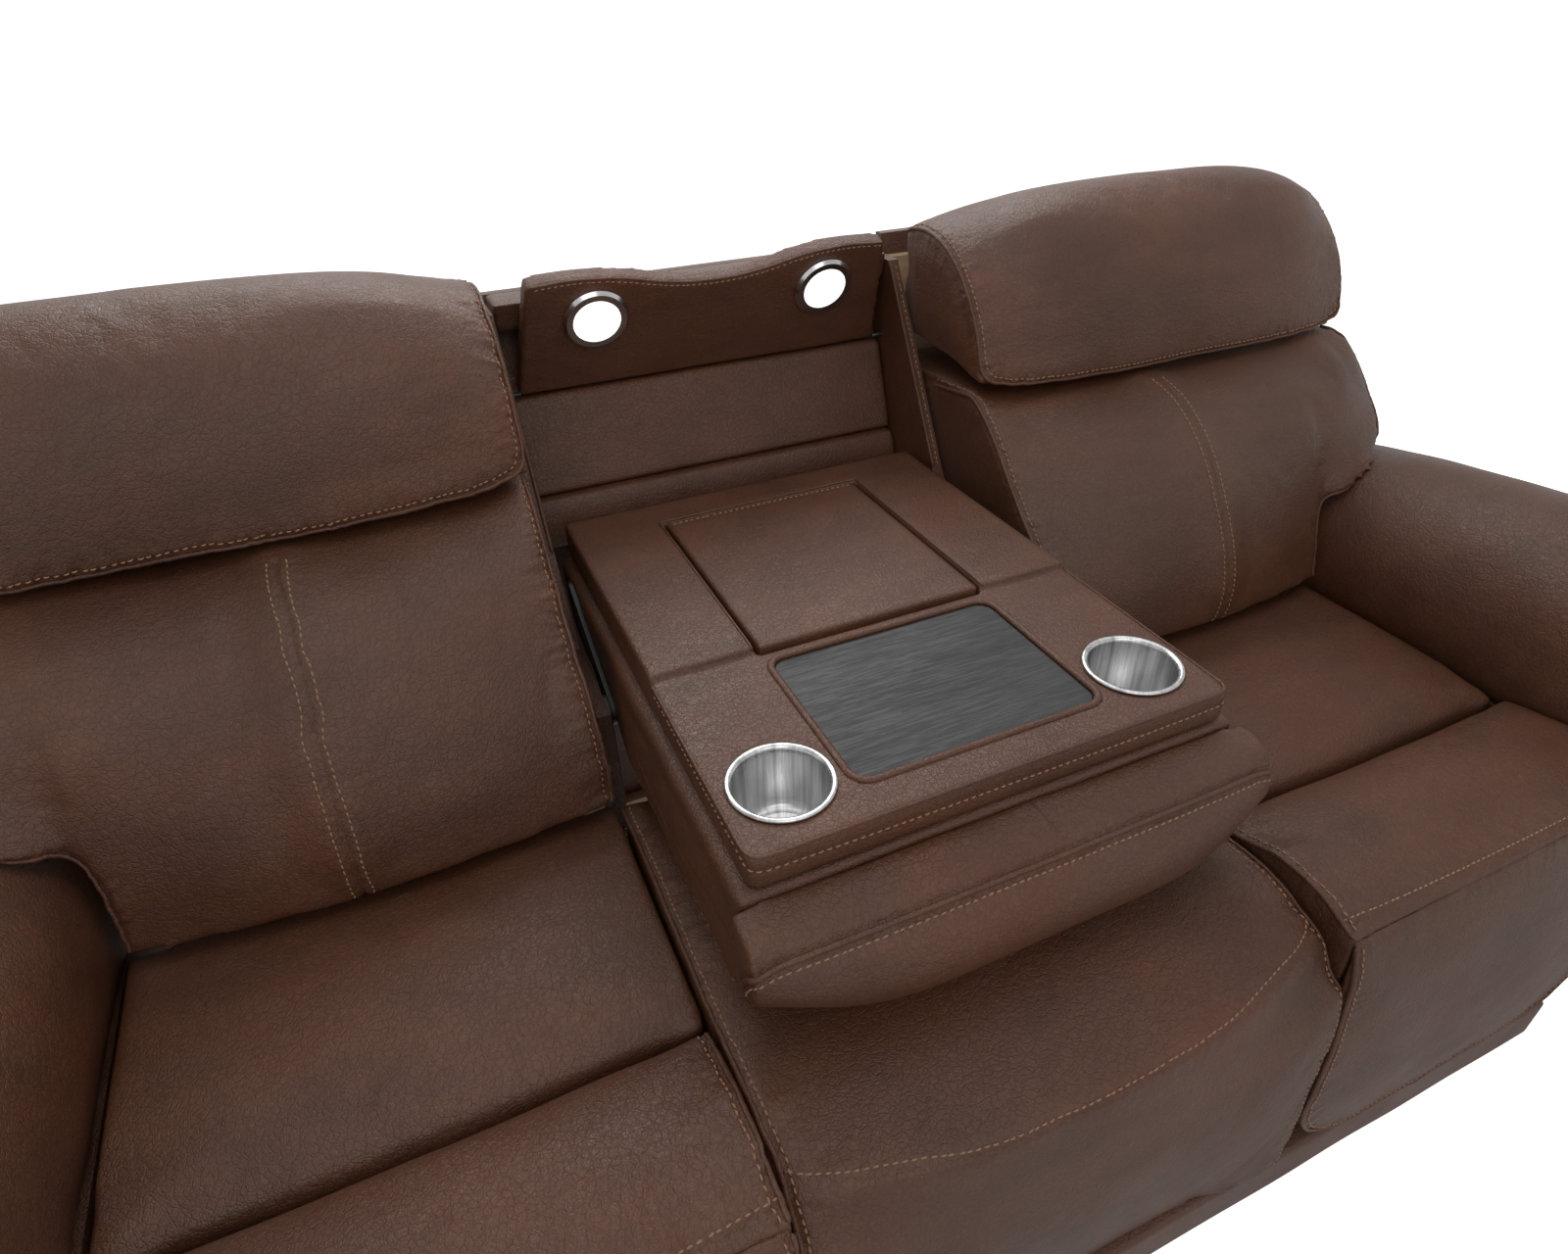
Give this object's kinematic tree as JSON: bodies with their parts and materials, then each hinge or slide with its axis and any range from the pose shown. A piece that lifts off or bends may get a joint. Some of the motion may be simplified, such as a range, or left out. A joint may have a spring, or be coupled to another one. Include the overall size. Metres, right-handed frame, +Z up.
{
  "type": "reclining sofa with drop-down console",
  "caption": "Reclining sofa with padded arms and headrests; the middle back folds down as a console with tray, cup holders, lidded storage and a hinged light panel.",
  "frame": {"origin": "on the floor, under the middle of the bounding box", "axes": "+Z up, +X towards the arm on the right of the picture, along the sofa, +Y towards the back; the seats face -Y"},
  "size_m": [2.2048, 1.0441, 1.0662],
  "materials": {
    "padded_leather": "satin mottled brown leather over foam",
    "leather_over_board": "satin mottled brown leather stretched over board",
    "plywood": "matte raw plywood",
    "brushed_steel": "satin brushed stainless",
    "silver_rim": "satin",
    "lit_lens": "matte diffusing lens, lit",
    "black_tray": "satin black open-grained board",
    "black_plastic": "matte",
    "button_plastic": "gloss",
    "black_steel": "satin black paint"
  },
  "bodies": {
    "base": {"feet": "black_plastic", "front_rail": "plywood", "rear_rail": "plywood", "base_skirt": "leather_over_board", "rear_panel": "leather_over_board", "left_divider": "plywood", "right_divider": "plywood", "middle_seat_deck": "plywood", "left_seat_frame": "black_steel", "right_seat_frame": "black_steel", "left_arm_frame": "leather_over_board", "right_arm_frame": "leather_over_board", "left_arm_pad": "padded_leather", "right_arm_pad": "padded_leather", "left_seat_cushion": "padded_leather", "right_seat_cushion": "padded_leather", "left_seat_bolster": "padded_leather", "right_seat_bolster": "padded_leather", "middle_seat_cushion": "padded_leather", "middle_front_panel": "padded_leather", "recline_brackets": "black_steel", "actuators": "black_plastic", "middle_rear_cover": "leather_over_board", "left_recess_side": "leather_over_board", "right_recess_side": "leather_over_board", "recess_roll": "padded_leather", "recess_back": "padded_leather", "top_rail": "padded_leather", "console_hinge_brackets": "black_steel", "switch_plates": "black_plastic"},
    "console": {"console_top": "padded_leather", "console_body": "padded_leather", "console_roll": "padded_leather", "storage_bin": "black_plastic", "console_tray": "black_tray", "left_cup": "brushed_steel", "right_cup": "brushed_steel", "console_links": "black_steel"},
    "lid": {"storage_lid": "padded_leather"},
    "light": {"light_panel": "padded_leather", "light_rims": "silver_rim", "light_lenses": "lit_lens"},
    "left_back": {"left_back_cover": "leather_over_board", "left_back_frame": "plywood", "left_back_cushion": "padded_leather", "left_headrest_hinge": "black_steel"},
    "left_head": {"left_headrest": "padded_leather"},
    "left_rear_links": {"left_footrest_rear_link": "black_steel"},
    "left_front_links": {"left_footrest_front_link": "black_steel"},
    "left_foot": {"left_footrest": "padded_leather"},
    "left_button": {"left_recline_button": "button_plastic"},
    "right_back": {"right_back_cover": "leather_over_board", "right_back_frame": "plywood", "right_back_cushion": "padded_leather", "right_headrest_hinge": "black_steel"},
    "right_head": {"right_headrest": "padded_leather"},
    "right_rear_links": {"right_footrest_rear_link": "black_steel"},
    "right_front_links": {"right_footrest_front_link": "black_steel"},
    "right_foot": {"right_footrest": "padded_leather"},
    "right_button": {"right_recline_button": "button_plastic"}
  },
  "joints": [
    {"name": "console_fold", "type": "hinge", "parent": "base", "child": "console", "pos_m": [0, 0.103, 0.569], "axis": [-1, 0, 0], "range_deg": [0, 105]},
    {"name": "lid_open", "type": "hinge", "parent": "console", "child": "lid", "pos_m": [0, 0.266, 0.716], "axis": [1, 0, 0], "range_deg": [-80, 0]},
    {"name": "light_fold", "type": "hinge", "parent": "base", "child": "light", "pos_m": [0, 0.45503, 0.85228], "axis": [1, 0, 0], "range_deg": [0, 115]},
    {"name": "left_recline", "type": "hinge", "parent": "base", "child": "left_back", "pos_m": [-0.557, 0.11, 0.43], "axis": [-1, 0, 0], "range_deg": [0, 30]},
    {"name": "left_headrest_tilt", "type": "hinge", "parent": "left_back", "child": "left_head", "pos_m": [-0.577, 0.215, 0.834], "axis": [1, 0, 0], "range_deg": [0, 30]},
    {"name": "left_footrest_lift", "type": "hinge", "parent": "base", "child": "left_rear_links", "pos_m": [-0.565, -0.33, 0.33], "axis": [-1, 0, 0], "range_deg": [0, 78.5]},
    {"name": "left_footrest_knee", "type": "hinge", "parent": "left_rear_links", "child": "left_front_links", "pos_m": [-0.565, -0.35668, 0.1217], "axis": [1, 0, 0], "range_deg": [0, 103.8]},
    {"name": "left_footrest_turn", "type": "hinge", "parent": "left_front_links", "child": "left_foot", "pos_m": [-0.565, -0.468, 0.3], "axis": [-1, 0, 0], "range_deg": [0, 115.3]},
    {"name": "left_button_press", "type": "slide", "parent": "base", "child": "left_button", "axis": [1, 0, 0], "range_m": [0, 0.0015], "stiffness_N_per_m": 400, "springref_m": -0.001},
    {"name": "right_recline", "type": "hinge", "parent": "base", "child": "right_back", "pos_m": [0.557, 0.11, 0.43], "axis": [-1, 0, 0], "range_deg": [0, 30]},
    {"name": "right_headrest_tilt", "type": "hinge", "parent": "right_back", "child": "right_head", "pos_m": [0.577, 0.215, 0.834], "axis": [1, 0, 0], "range_deg": [0, 30]},
    {"name": "right_footrest_lift", "type": "hinge", "parent": "base", "child": "right_rear_links", "pos_m": [0.565, -0.33, 0.33], "axis": [-1, 0, 0], "range_deg": [0, 78.5]},
    {"name": "right_footrest_knee", "type": "hinge", "parent": "right_rear_links", "child": "right_front_links", "pos_m": [0.565, -0.35668, 0.1217], "axis": [1, 0, 0], "range_deg": [0, 103.8]},
    {"name": "right_footrest_turn", "type": "hinge", "parent": "right_front_links", "child": "right_foot", "pos_m": [0.565, -0.468, 0.3], "axis": [-1, 0, 0], "range_deg": [0, 115.3]},
    {"name": "right_button_press", "type": "slide", "parent": "base", "child": "right_button", "axis": [-1, 0, 0], "range_m": [0, 0.0015], "stiffness_N_per_m": 400, "springref_m": -0.001}
  ],
  "couplings": [
    {"joint": "left_footrest_knee", "follows": "left_footrest_lift", "ratio": 1.3159},
    {"joint": "left_footrest_turn", "follows": "left_footrest_lift", "ratio": 1.4624},
    {"joint": "right_footrest_knee", "follows": "right_footrest_lift", "ratio": 1.3159},
    {"joint": "right_footrest_turn", "follows": "right_footrest_lift", "ratio": 1.4624}
  ]
}
